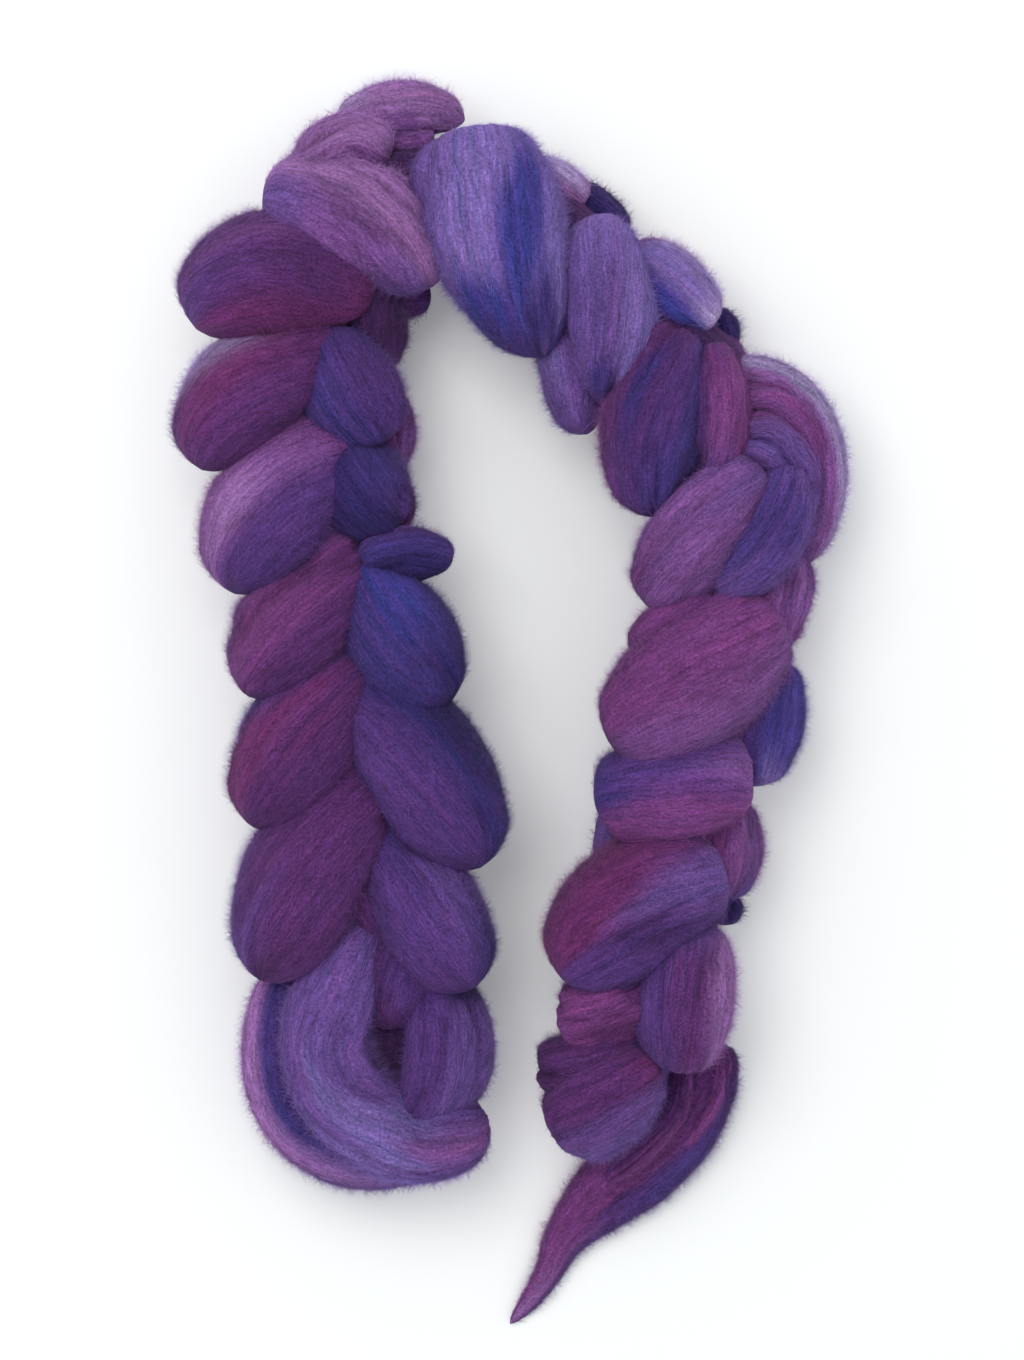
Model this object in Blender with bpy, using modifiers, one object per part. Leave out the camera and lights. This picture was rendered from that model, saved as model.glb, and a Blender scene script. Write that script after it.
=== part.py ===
"""A braid of wool roving, lying in a bend with both ends towards -Y.

The roving is one soft length that is chained on itself, as a crochet chain is. Each
loop comes up through the loop before it and shows as two plump stretches that lean
apart, and the next loop covers their ends. Under the braid the roving runs on from
stitch to stitch as a row of bumps. The last loop is left open, and the first end
comes out from under the first stitch, lies flat and thins to a wisp.
Sizes in the tables are millimetres: across (+X), along the arms (+Y) and above the
surface that the braid lies on (+Z).
"""

import math
from collections import namedtuple

import bmesh
import bpy
import numpy as np

MM = 0.001

# The middle of the whole braid's box in the tables, which is put over the origin
BOX_MIDDLE = (-0.2, -0.3, 0)

# The braid as a whole. Shares are parts of its half width where they lie
CORE_SHARE = 1.35
CORE_THICK = 34
CORE_HEIGHT = 33
CORE_RISE = 0.4
STITCH_PITCH = 45
FIRST_STITCH = 22

# The bumps that run under the middle, one for each stitch
BUMP_LENGTH = 62
BUMP_SHARE = 1.15
BUMP_THICK = 32
BUMP_SINK = 2.0
BUMP_LIFT = 26
BUMP_SWAY = 5
BUMP_ENDS = 0.6

# The loops' heads, which turn down round both sides, one a side for each stitch
HEAD_LENGTH = 58
HEAD_WIDTH = 34
HEAD_THICK = 30
HEAD_HEIGHT = 21
HEAD_RISE = 12
HEAD_FALL = 4
HEAD_TUCK = 5
HEAD_ENDS = (0.55, 0.5)
REACH_BEFORE = 0.75
REACH_AFTER = 0.55

# What makes the solids
BRAID_VOXEL = 2.0
BRAID_TRIANGLES = 7400
LOOSE_END_VOXEL = 1.0
LOOSE_END_TRIANGLES = 900
SMOOTHING = 3
GAP = 0.8
NEAR_SURFACE = 0.25
SPHERE_RINGS = 18
SPHERE_SIDES = 24
END_ROUNDING = 0.15
SQUARENESS = 2 / 2.35
FULLNESS = 0.75
THINNING = 0.7
CURVE_STEPS = 40
ARCH_STEPS = 60
STRETCH_STEPS = 60
LOOSE_END_STEPS = 80
MIDDLE_STEPS = 360
NO_LENGTH = 1e-6

BRAID_COLOUR = (0.115, 0.035, 0.21, 1)
LOOSE_END_COLOUR = (0.13, 0.03, 0.17, 1)
WOOL_ROUGHNESS = 0.9

# The middle of the braid, from the first stitch to the open loop, one row for each
# section, with half of the braid's width there
Middle = namedtuple("Middle", "x y half_width")
MIDDLE = (
    Middle(30, -150, 15),
    Middle(37, -131, 25),
    Middle(46, -108, 31),
    Middle(54, -60, 31),
    Middle(67, -6, 33),
    Middle(77, 36, 31),
    Middle(80, 76, 34),
    Middle(73, 110, 29),
    Middle(38, 151, 22),
    Middle(3, 175, 28),
    Middle(-32, 185, 34),
    Middle(-62, 180, 28),
    Middle(-80, 155, 28),
    Middle(-80, 120, 38),
    Middle(-73, 76, 36),
    Middle(-60, 24, 38),
    Middle(-52, -26, 42),
    Middle(-53, -78, 42),
    Middle(-52, -125, 41),
    Middle(-51, -148, 32),
)

# One stretch of roving between the place where it comes up and the place where it
# goes under. start_share and end_share are its width there, as a part of its width.
# The belly is its widest place along it (0 to 1), and roll leans it over (degrees).
Stretch = namedtuple("Stretch", "name route width thick start_share end_share belly roll",
                     defaults=(0.5, 0))

# A stretch that arches over its middle: where that lies and how high, which way it heads
# (degrees from +X), its length from end to end, how far its middle bows out to the right
# of the straight way, and how far its start and end dip below it.
Arch = namedtuple("Arch", "name x y top heading length bow width thick start_share end_share "
                  "belly roll dips", defaults=(0.5, 0, (13, 11)))

OPEN_LOOP = (
    Stretch("first_leg", ((-51, -70, 38), (-60, -94, 46), (-66, -119, 47), (-59, -139, 44),
            (-41, -152, 40), (-22, -152, 36), (-9, -147, 30)), 34, 27, 0.7, 0.8),
    Stretch("outer_strand", ((-79, -88, 32), (-85, -111, 34), (-84, -135, 34), (-73, -153, 32),
            (-52, -162, 30), (-20, -159, 26)), 27, 23, 0.6, 0.5),
    Arch("second_leg", -43, -100, 41, 260, 35, 0, 35, 32, 0.6, 0.5, dips=(3, 7)),
    Stretch("right_leg", ((-34, -146, 34), (-24, -132, 42), (-23, -114, 40), (-30, -93, 32)), 38,
            25, 0.6, 0.6),
    Arch("inside", -45, -130, 27, 295, 36, 0, 26, 24, 0.6, 0.6, dips=(0, 3)),
)

LEFT_ARM = (
    Arch("left_1", -91, 153, 50, 202, 77, 17, 47, 38, 0.6, 0.42, belly=0.55, roll=12, dips=(13, 6)),
    Arch("left_2", -97, 110, 49, 229, 80, 12, 41, 36, 0.6, 0.35, belly=0.55, roll=16, dips=(13, 6)),
    Arch("left_3", -88, 68, 49, 239, 83, 9, 44, 36, 0.6, 0.35, belly=0.55, roll=16, dips=(13, 6)),
    Arch("left_4", -80, 28, 49, 236, 79, 3, 41, 36, 0.6, 0.35, belly=0.55, roll=16, dips=(13, 6)),
    Arch("left_5", -78, -16, 49, 240, 86, 2, 41, 37, 0.6, 0.35, belly=0.55, roll=16, dips=(13, 6)),
    Arch("left_6", -75, -63, 49, 243, 106, 5, 45, 39, 0.6, 0.35, belly=0.55, roll=16, dips=(13, 6)),
    Arch("right_2", -57, 109, 46, 298, 50, 0, 34, 34, 0.6, 0.35, belly=0.55, roll=-16,
            dips=(10, 8)),
    Arch("right_3", -52, 75, 45, 308, 35, 0, 33, 32, 0.6, 0.55, roll=-16, dips=(9, 9)),
    Arch("right_4", -37, 55, 44, 348, 29, -4, 18, 28, 0.6, 0.6, dips=(2, 12)),
    Arch("right_5", -37, 21, 48, 305, 68, 1, 38, 35, 0.6, 0.35, belly=0.55, roll=-16, dips=(12, 6)),
    Arch("right_6", -27, -27, 50, 302, 96, -5, 45, 38, 0.6, 0.35, belly=0.55, roll=-16,
            dips=(13, 6)),
    Arch("right_7", -28, -76, 49, 299, 79, 0, 38, 36, 0.6, 0.35, belly=0.55, roll=-16,
            dips=(13, 6)),
    Arch("side_1", -49, 134, 36, 270, 31, -2, 20, 20, 0.7, 0.4, dips=(2, 8)),
    Arch("side_2", -45, 97, 31, 270, 34, -2, 16, 18, 0.5, 0.4, dips=(1, 5)),
    Arch("side_3", -43, 73, 28, 270, 20, -1, 12, 14, 0.5, 0.5, dips=(0, 4)),
    Arch("sliver", -49, -72, 46, 292, 34, 0, 18, 20, 0.5, 0.4, dips=(2, 6)),
)

BEND = (
    Arch("back_1", -36, 216, 33, 0, 54, -6, 17, 20, 0.5, 0.15, dips=(3, 9)),
    Arch("back_2", -37, 206, 35, 2, 25, 0, 15, 20, 0.6, 0.6, dips=(1, 3)),
    Arch("upper_split", -58, 200, 44, 10, 38, -13, 22, 26, 0.6, 0.6, dips=(8, 2)),
    Arch("lower_split", -61, 177, 50, 161, 80, 10, 39, 35, 0.55, 0.5, roll=-12, dips=(12, 9)),
    Arch("inner_bit", -39, 151, 28, 5, 26, 0, 13, 20, 0.6, 0.6, dips=(2, 4)),
    Arch("crown", -1, 158, 51, 292, 100, -1, 51, 40, 0.72, 0.3, belly=0.36, dips=(13, 8)),
    Arch("back_3", 17, 187, 31, 324, 27, -1, 16, 20, 0.5, 0.5, dips=(3, 5)),
    Arch("back_4", 33, 179, 26, 314, 30, -2, 14, 14, 0.5, 0.5, dips=(2, 4)),
    Arch("shoulder", 36, 135, 50, 274, 78, -6, 31, 34, 0.65, 0.25, belly=0.45, dips=(12, 10)),
    Arch("shoulder_split", 20, 121, 40, 284, 67, 3, 19, 22, 0.5, 0.5, dips=(8, 7)),
    Arch("back_5", 59, 147, 38, 317, 40, -2, 27, 28, 0.6, 0.6, dips=(6, 8)),
    Arch("back_6", 61, 156, 28, 318, 41, -4, 13, 15, 0.4, 0.4, dips=(2, 6)),
    Arch("back_7", 76, 137, 24, 292, 18, 0, 12, 12, 0.4, 0.4, dips=(0, 5)),
)

RIGHT_ARM = (
    Arch("inner_1", 50, 96, 50, 267, 80, 6, 36, 37, 0.55, 0.28, dips=(12, 7)),
    Arch("inner_1_split", 74, 101, 47, 272, 53, -4, 23, 32, 0.55, 0.5, dips=(9, 13)),
    Stretch("outer_turn", ((72, 121, 32), (94, 115, 36), (107, 97, 34), (109, 74, 32),
            (104, 52, 28)), 20, 22, 0.5, 0.5),
    Stretch("middle_turn", ((77, 110, 38), (93, 107, 41), (103, 91, 38), (104, 71, 32)), 15, 22,
            0.6, 0.5),
    Stretch("inner_turn", ((80, 100, 42), (91, 98, 44), (100, 84, 40), (101, 69, 34)), 13, 24, 0.6,
            0.5),
    Arch("small_turn", 91, 89, 46, 322, 23, -3, 9, 18, 0.5, 0.5, dips=(2, 5)),
    Arch("inner_2", 64, 58, 49, 235, 74, 4, 32, 36, 0.5, 0.45, roll=14, dips=(7, 15)),
    Arch("inner_2_split", 87, 56, 48, 236, 60, -9, 27, 34, 0.6, 0.35, dips=(8, 12)),
    Arch("outer_2", 93, 38, 34, 256, 38, -2, 30, 26, 0.6, 0.6, dips=(6, 6)),
    Arch("inner_3", 60, 5, 50, 221, 88, -1, 48, 38, 0.6, 0.55, belly=0.55, roll=14, dips=(12, 12)),
    Arch("inner_3_split", 57, 26, 43, 215, 38, 0, 22, 30, 0.6, 0.5, dips=(3, 11)),
    Arch("outer_3", 89, -9, 36, 260, 54, -2, 33, 28, 0.5, 0.45, dips=(6, 6)),
    Arch("inner_4", 53, -29, 49, 197, 56, 4, 39, 37, 0.75, 0.75, roll=14, dips=(9, 16)),
    Arch("outer_4", 75, -54, 34, 264, 46, -1, 32, 27, 0.5, 0.4, dips=(4, 4)),
    Arch("outer_5", 77, -74, 22, 262, 14, 0, 10, 12, 0.5, 0.5, dips=(0, 0)),
    Arch("inner_5", 38, -76, 50, 223, 80, 8, 47, 38, 0.75, 0.42, belly=0.55, roll=14,
            dips=(12, 11)),
    Arch("inner_6", 32, -109, 45, 207, 29, 0, 30, 32, 0.6, 0.7, roll=14, dips=(3, 11)),
    Arch("outer_6", 60, -108, 49, 264, 57, -2, 37, 36, 0.65, 0.38),
    Arch("inner_8", 26, -128, 41, 202, 40, 0, 27, 30, 0.6, 0.75, dips=(5, 13)),
    Arch("inner_7", 31, -141, 46, 219, 47, 0, 34, 34, 0.5, 0.75, roll=14, dips=(4, 14)),
)

# The loose end, one row for each section of it
Section = namedtuple("Section", "x y z width thick")
LOOSE_END = (
    Section(73, -119, 18, 18, 20),
    Section(69, -135, 14, 27, 20),
    Section(60, -153, 10, 31, 19),
    Section(44, -170, 7, 31, 16),
    Section(29, -184, 5, 23, 12),
    Section(19, -196, 3.5, 15, 9),
    Section(14, -207, 2.6, 10, 6),
    Section(8, -217, 2, 8, 5),
    Section(-1, -228, 1.5, 6, 4),
)
# The strands that are folded over it
LOOSE_FOLDS = (
    Stretch("top_fold", ((63, -128, 24), (60, -145, 20), (49, -160, 16), (34, -174, 11)), 15, 12,
            0.6, 0.4),
    Stretch("side_fold", ((76, -122, 20), (74, -138, 16), (65, -154, 13), (53, -166, 9)), 15, 15,
            0.7, 0.4),
    Stretch("low_fold", ((58, -165, 8), (44, -178, 7), (31, -188, 4), (24, -192, 3)), 12, 10, 0.6,
            0.4),
)


def smooth_route(points, count):
    """count evenly spaced points of a smooth curve through the points, and its headings."""
    ends = np.array([2 * points[0] - points[1], *points, 2 * points[-1] - points[-2]])
    pieces = []
    for before, here, after, last in zip(ends, ends[1:], ends[2:], ends[3:]):
        t = np.linspace(0, 1, CURVE_STEPS, endpoint=False)[:, None]
        pieces.append(0.5 * (2 * here + (after - before) * t
                             + (2 * before - 5 * here + 4 * after - last) * t ** 2
                             + (3 * here - before - 3 * after + last) * t ** 3))
    line = np.vstack([*pieces, points[-1:]])
    run = np.r_[0, np.cumsum(np.linalg.norm(np.diff(line, axis=0), axis=1))]
    even = np.linspace(0, run[-1], count)
    line = np.stack([np.interp(even, run, line[:, k]) for k in range(3)], axis=1)
    heading = np.gradient(line, axis=0)
    return line, heading / np.linalg.norm(heading, axis=1)[:, None]


def along(points, values, count):
    """Values given at the points, read at count evenly spaced places along them."""
    run = np.r_[0, np.cumsum(np.linalg.norm(np.diff(points, axis=0), axis=1))]
    return np.interp(np.linspace(0, run[-1], count), run, values)


def arc_route(points, count):
    """The same for a route of three points, as one arch that passes through its belly."""
    start, belly, end = points
    control = 2 * belly - (start + end) / 2
    t = np.linspace(0, 1, ARCH_STEPS)[:, None]
    arch = (1 - t) ** 2 * start + 2 * t * (1 - t) * control + t ** 2 * end
    return smooth_route(arch[::ARCH_STEPS // 6], count)


def as_stretch(row):
    """A row of a table as a stretch: an arch gets its route of start, middle and end."""
    if isinstance(row, Stretch):
        return row
    turn = math.radians(row.heading)
    half_way = np.array([math.cos(turn), math.sin(turn)]) * row.length / 2
    straight = np.array([row.x, row.y]) - row.bow * np.array([math.sin(turn), -math.cos(turn)])
    start_dip, end_dip = row.dips
    route = ((*(straight - half_way), row.top - start_dip), (row.x, row.y, row.top),
             (*(straight + half_way), row.top - end_dip))
    return Stretch(row.name, route, row.width, row.thick, row.start_share, row.end_share,
                   row.belly, row.roll)


def outward(line, heading, middle):
    """Unit vectors that point away from the braid's middle, mostly up, square to the heading."""
    flat = np.linalg.norm(line[:, None, :2] - middle[None, :, :2], axis=2)
    away = line - middle[np.argmin(flat, axis=1)]
    away[:, 2] = np.maximum(away[:, 2], 0) + CORE_THICK * CORE_RISE
    away -= (away * heading).sum(axis=1)[:, None] * heading
    return away / np.linalg.norm(away, axis=1)[:, None]


def swept_sphere(bm, line, side, out, width, thick):
    """Adds a UV sphere drawn out along a line, with a width and a thickness at each point."""
    ball = bmesh.new()
    bmesh.ops.create_uvsphere(ball, u_segments=SPHERE_SIDES, v_segments=SPHERE_RINGS, radius=1)
    co = np.array([v.co for v in ball.verts])
    t = (1 - co[:, 2]) / 2
    ring = np.maximum(np.hypot(co[:, 0], co[:, 1]), NO_LENGTH)[:, None]
    round_it = np.sign(co[:, :2]) * np.abs(co[:, :2] / ring) ** SQUARENESS
    steps = np.linspace(0, 1, len(line))
    across = round_it[:, :1] * np.interp(t, steps, width)[:, None] / 2
    up = round_it[:, 1:] * np.interp(t, steps, thick)[:, None] / 2
    place, beside, above = (
        np.stack([np.interp(t, steps, values[:, k]) for k in range(3)], axis=1)
        for values in (line, side, out)
    )
    for v, moved in zip(ball.verts, (place - BOX_MIDDLE + beside * across + above * up) * MM):
        v.co = moved
    mesh = bpy.data.meshes.new("stretch")
    ball.to_mesh(mesh)
    ball.free()
    bm.from_mesh(mesh)
    bpy.data.meshes.remove(mesh)


def rounded_ends(t):
    """1 along the stretch, falling to 0 at both ends as a round cap does."""
    near = np.clip(np.minimum(t, 1 - t) / END_ROUNDING, 0, 1)
    return np.sqrt(1 - (1 - near) ** 2)


def add_stretch(bm, row, middle):
    stretch = as_stretch(row)
    points = np.array(stretch.route, float)
    route = arc_route if len(points) == 3 else smooth_route
    line, heading = route(points, STRETCH_STEPS)
    t = np.linspace(0, 1, len(line))
    bent = t ** (math.log(0.5) / math.log(stretch.belly))
    share = np.where(bent < 0.5, stretch.start_share, stretch.end_share)
    plump = share + (1 - share) * np.sin(math.pi * bent) ** FULLNESS
    cap = rounded_ends(t)
    out = outward(line, heading, middle)
    side = np.cross(heading, out)
    turn = math.radians(stretch.roll)
    swept_sphere(bm, line, side * math.cos(turn) - out * math.sin(turn),
                 out * math.cos(turn) + side * math.sin(turn),
                 stretch.width * plump * cap, stretch.thick * plump ** THINNING * cap)


def add_core(bm, middle, heading, half_width):
    """The inside of the braid, which fills what lies between its stretches."""
    cap = rounded_ends(np.linspace(0, 1, len(middle)))
    up = np.tile([0.0, 0.0, 1.0], (len(middle), 1))
    swept_sphere(bm, middle, np.cross(heading, up), up, CORE_SHARE * half_width * cap,
                 CORE_THICK * cap)


def add_underside(bm, middle, heading, half_width):
    """The bumps under the middle and the loops' heads round both sides, a set for each stitch."""
    run = np.r_[0, np.cumsum(np.linalg.norm(np.diff(middle, axis=0), axis=1))]
    for stitch, at in enumerate(np.arange(FIRST_STITCH, run[-1], STITCH_PITCH)):
        here = np.array([np.interp(at, run, middle[:, 0]), np.interp(at, run, middle[:, 1]), 0])
        ahead = np.array([np.interp(at, run, heading[:, 0]), np.interp(at, run, heading[:, 1]), 0])
        half = np.interp(at, run, half_width)
        left = np.array([-ahead[1], ahead[0], 0])
        sway = left * BUMP_SWAY * (-1) ** stitch
        bump = (here - ahead * BUMP_LENGTH / 2 - sway + (0, 0, BUMP_LIFT),
                here + (0, 0, BUMP_THICK / 2 - BUMP_SINK),
                here + ahead * BUMP_LENGTH / 2 + sway + (0, 0, BUMP_LIFT))
        add_stretch(bm, Stretch("bump", bump, BUMP_SHARE * half, BUMP_THICK, BUMP_ENDS,
                                BUMP_ENDS), middle)
        for hand in (1, -1):
            reach = left * hand * (half - HEAD_WIDTH / 2 - HEAD_TUCK)
            head = (here - ahead * HEAD_LENGTH / 2 + reach * REACH_BEFORE
                    + (0, 0, HEAD_HEIGHT + HEAD_RISE),
                    here + reach + (0, 0, HEAD_HEIGHT),
                    here + ahead * HEAD_LENGTH / 2 + reach * REACH_AFTER
                    + (0, 0, HEAD_HEIGHT - HEAD_FALL))
            add_stretch(bm, Stretch("head", head, HEAD_WIDTH, HEAD_THICK, *HEAD_ENDS), middle)


def new_object(name, bm, collection):
    mesh = bpy.data.meshes.new(name)
    bm.to_mesh(mesh)
    bm.free()
    obj = bpy.data.objects.new(name, mesh)
    collection.objects.link(obj)
    return obj


def evaluated_bmesh(obj):
    bpy.context.view_layer.update()
    seen = obj.evaluated_get(bpy.context.evaluated_depsgraph_get())
    mesh = bpy.data.meshes.new_from_object(seen)
    bm = bmesh.new()
    bm.from_mesh(mesh)
    bpy.data.meshes.remove(mesh)
    return bm


def replace_mesh(obj, bm):
    obj.modifiers.clear()
    bm.to_mesh(obj.data)
    bm.free()


def keep_largest_body(bm):
    left, bodies = set(bm.verts), []
    while left:
        body, edge = set(), {left.pop()}
        while edge:
            body |= edge
            edge = {e.other_vert(v) for v in edge for e in v.link_edges} - body
        left -= body
        bodies.append(body)
    bodies.sort(key=len, reverse=True)
    bmesh.ops.delete(bm, geom=[v for body in bodies[1:] for v in body], context="VERTS")


def fuse(obj, voxel):
    """Makes one closed skin, with soft creases, round everything in the mesh."""
    remesh = obj.modifiers.new("One skin", "REMESH")
    remesh.mode = "VOXEL"
    remesh.voxel_size = voxel * MM
    smooth = obj.modifiers.new("Soft creases", "SMOOTH")
    smooth.factor = 0.5
    smooth.iterations = SMOOTHING
    replace_mesh(obj, evaluated_bmesh(obj))


def thin_out(obj, triangles):
    """Leaves about that many triangles, and nothing of any bubble inside."""
    sides = sum(len(face.vertices) - 2 for face in obj.data.polygons)
    fewer = obj.modifiers.new("Few triangles", "DECIMATE")
    fewer.ratio = triangles / sides
    bm = evaluated_bmesh(obj)
    keep_largest_body(bm)
    replace_mesh(obj, bm)


def lay_flat(obj):
    """Cuts the mesh off at the surface that the braid lies on, so it rests on small flat spots."""
    bm = bmesh.new()
    bm.from_mesh(obj.data)
    for v in bm.verts:
        if abs(v.co.z) < NEAR_SURFACE * MM:
            v.co.z = 0
    everything = [*bm.verts, *bm.edges, *bm.faces]
    cut = bmesh.ops.bisect_plane(bm, geom=everything, dist=NO_LENGTH, plane_co=(0, 0, 0),
                                 plane_no=(0, 0, 1), clear_inner=True)
    rim = [e for e in cut["geom_cut"] if isinstance(e, bmesh.types.BMEdge)]
    bmesh.ops.edgenet_fill(bm, edges=rim)
    bmesh.ops.recalc_face_normals(bm, faces=bm.faces)
    bmesh.ops.triangulate(bm, faces=bm.faces)
    replace_mesh(obj, bm)


def keep_clear(obj, neighbour, guides):
    """Cuts the room of a neighbour, with the gap round it, out of an object."""
    bm = bmesh.new()
    bm.from_mesh(neighbour.data)
    for v in bm.verts:
        v.co += v.normal * GAP * MM
    room = new_object(f"{neighbour.name}_room", bm, guides)
    room.hide_render = True
    room.display_type = "WIRE"
    cut = obj.modifiers.new("Clear of the braid", "BOOLEAN")
    cut.operation = "DIFFERENCE"
    cut.object = room
    cut.use_self = True
    bm = evaluated_bmesh(obj)
    bmesh.ops.remove_doubles(bm, verts=bm.verts, dist=0.0001)
    replace_mesh(obj, bm)


def wool(name, colour):
    material = bpy.data.materials.new(name)
    material.use_nodes = True
    shader = material.node_tree.nodes["Principled BSDF"]
    shader.inputs["Base Color"].default_value = colour
    shader.inputs["Roughness"].default_value = WOOL_ROUGHNESS
    shader.inputs["Metallic"].default_value = 0
    material.diffuse_color = colour
    return material


def middle_of_the_braid():
    points = np.array([(row.x, row.y, CORE_HEIGHT) for row in MIDDLE], float)
    return points, *smooth_route(points, MIDDLE_STEPS)


def make_braid(collection):
    points, middle, heading = middle_of_the_braid()
    half_width = along(points, [row.half_width for row in MIDDLE], len(middle))
    bm = bmesh.new()
    add_core(bm, middle, heading, half_width)
    add_underside(bm, middle, heading, half_width)
    for stretch in (*OPEN_LOOP, *LEFT_ARM, *BEND, *RIGHT_ARM):
        add_stretch(bm, stretch, middle)
    braid = new_object("braid", bm, collection)
    fuse(braid, BRAID_VOXEL)
    thin_out(braid, BRAID_TRIANGLES)
    lay_flat(braid)
    braid.data.materials.append(wool("violet_wool", BRAID_COLOUR))
    return braid


def make_loose_end(collection, braid, guides):
    points = np.array([(row.x, row.y, row.z) for row in LOOSE_END], float)
    line, heading = smooth_route(points, LOOSE_END_STEPS)
    cap = rounded_ends(np.linspace(0, 1, len(line)))
    width = along(points, [row.width for row in LOOSE_END], len(line)) * cap
    thick = along(points, [row.thick for row in LOOSE_END], len(line)) * cap
    up = np.tile([0.0, 0.0, 1.0], (len(line), 1))
    bm = bmesh.new()
    swept_sphere(bm, line, np.cross(heading, up), up, width, thick)
    for row in LOOSE_FOLDS:
        add_stretch(bm, row, middle_of_the_braid()[1])
    end = new_object("loose_end", bm, collection)
    fuse(end, LOOSE_END_VOXEL)
    keep_clear(end, braid, guides)
    fuse(end, LOOSE_END_VOXEL)
    thin_out(end, LOOSE_END_TRIANGLES)
    lay_flat(end)
    end.data.materials.append(wool("plum_wool", LOOSE_END_COLOUR))
    return end


for old in list(bpy.data.objects):
    bpy.data.objects.remove(old, do_unlink=True)

parts = bpy.data.collections.new("wool_roving_braid")
cutters = bpy.data.collections.new("cutters")
for made in (parts, cutters):
    bpy.context.scene.collection.children.link(made)

braid_solid = make_braid(parts)
make_loose_end(parts, braid_solid, cutters)
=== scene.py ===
import math
from collections import namedtuple

import bmesh
import bpy
import numpy as np
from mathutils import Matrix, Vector
from mathutils.bvhtree import BVHTree


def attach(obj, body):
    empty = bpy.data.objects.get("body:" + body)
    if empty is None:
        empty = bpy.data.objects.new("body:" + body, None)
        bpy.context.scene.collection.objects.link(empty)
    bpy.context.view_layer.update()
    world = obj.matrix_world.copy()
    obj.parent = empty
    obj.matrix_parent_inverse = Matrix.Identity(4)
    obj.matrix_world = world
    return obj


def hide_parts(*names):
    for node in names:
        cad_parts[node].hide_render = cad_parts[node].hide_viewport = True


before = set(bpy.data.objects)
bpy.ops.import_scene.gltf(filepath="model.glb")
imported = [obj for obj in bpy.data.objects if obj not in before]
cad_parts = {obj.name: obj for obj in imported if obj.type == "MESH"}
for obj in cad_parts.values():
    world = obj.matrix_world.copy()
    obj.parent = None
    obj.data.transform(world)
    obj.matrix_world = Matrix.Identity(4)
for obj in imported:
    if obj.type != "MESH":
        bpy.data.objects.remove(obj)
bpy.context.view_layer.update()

MM = 0.001
TURN = 2 * math.pi

# The camera and the room: a camera straight above, a pale matt table top, and a big soft
# lamp over it with pale walls all round, as in a white light tent.

CAMERA_PLACE = (0, 0.0107, 1.235)
CAMERA_SENSOR = 36
CAMERA_LENS = 88.2
TABLE_SIZE = 2.4
TABLE_COLOUR = (0.95, 0.95, 0.93, 1)
TABLE_GLOW = 0.14
TABLE_ROUGHNESS = 0.8
TABLE_SHINE = 0.2
WALL_COLOUR = (0.93, 0.97, 1.0, 1)
WALL_LIGHT = 0.74
LAMP_PLACE = (-0.35, 0.45, 1.3)
LAMP_SIZE = 0.8
LAMP_POWER = 7

camera = bpy.data.objects.new("camera", bpy.data.cameras.new("camera"))
camera.data.sensor_fit = "VERTICAL"
camera.data.sensor_height = CAMERA_SENSOR
camera.data.lens = CAMERA_LENS
camera.location = CAMERA_PLACE
bpy.context.scene.collection.objects.link(camera)
bpy.context.scene.camera = camera
bpy.context.scene.view_settings.view_transform = "Standard"

bm = bmesh.new()
bmesh.ops.create_grid(bm, x_segments=1, y_segments=1, size=TABLE_SIZE / 2)
table_top = bpy.data.objects.new("table_top", bpy.data.meshes.new("table_top"))
bm.to_mesh(table_top.data)
bm.free()
bpy.context.scene.collection.objects.link(table_top)
matt_white = bpy.data.materials.new("matt_white")
matt_white.use_nodes = True
shader = matt_white.node_tree.nodes["Principled BSDF"]
shader.inputs["Base Color"].default_value = TABLE_COLOUR
shader.inputs["Roughness"].default_value = TABLE_ROUGHNESS
shader.inputs["Specular IOR Level"].default_value = TABLE_SHINE
shader.inputs["Emission Color"].default_value = TABLE_COLOUR
shader.inputs["Emission Strength"].default_value = TABLE_GLOW
table_top.data.materials.append(matt_white)

world = bpy.data.worlds.new("tent")
world.use_nodes = True
world.node_tree.nodes["Background"].inputs["Color"].default_value = WALL_COLOUR
world.node_tree.nodes["Background"].inputs["Strength"].default_value = WALL_LIGHT
bpy.context.scene.world = world

lamp = bpy.data.objects.new("lamp", bpy.data.lights.new("lamp", "AREA"))
lamp.data.size = LAMP_SIZE
lamp.data.energy = LAMP_POWER
lamp.location = LAMP_PLACE
lamp.rotation_euler = (-Vector(LAMP_PLACE)).to_track_quat("-Z", "Y").to_euler()
bpy.context.scene.collection.objects.link(lamp)

# The left arm: seven loops of the chain, each showing as two plump stretches of combed
# wool that lean apart from the middle. The wool is one soft, unspun length, dyed by hand
# in patches that run along its fibres, and each stretch is held by the loop before it.

# The middle of the whole braid's box in the tables (mm), which lies over the origin
BOX_MIDDLE = (-0.2, -0.3, 0)

# The middle line of the braid, with half of the braid's width there (mm)
Middle = namedtuple("Middle", "x y half_width")
MIDDLE = (
    Middle(30, -150, 15),
    Middle(37, -131, 25),
    Middle(46, -108, 31),
    Middle(54, -60, 31),
    Middle(67, -6, 33),
    Middle(77, 36, 31),
    Middle(80, 76, 34),
    Middle(73, 110, 29),
    Middle(38, 151, 22),
    Middle(3, 175, 28),
    Middle(-32, 185, 34),
    Middle(-62, 180, 28),
    Middle(-80, 155, 28),
    Middle(-80, 120, 38),
    Middle(-73, 76, 36),
    Middle(-60, 24, 38),
    Middle(-52, -26, 42),
    Middle(-53, -78, 42),
    Middle(-52, -125, 41),
    Middle(-51, -148, 32),
)
CORE_HEIGHT = 33
CORE_THICK = 34
CORE_RISE = 0.4

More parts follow.
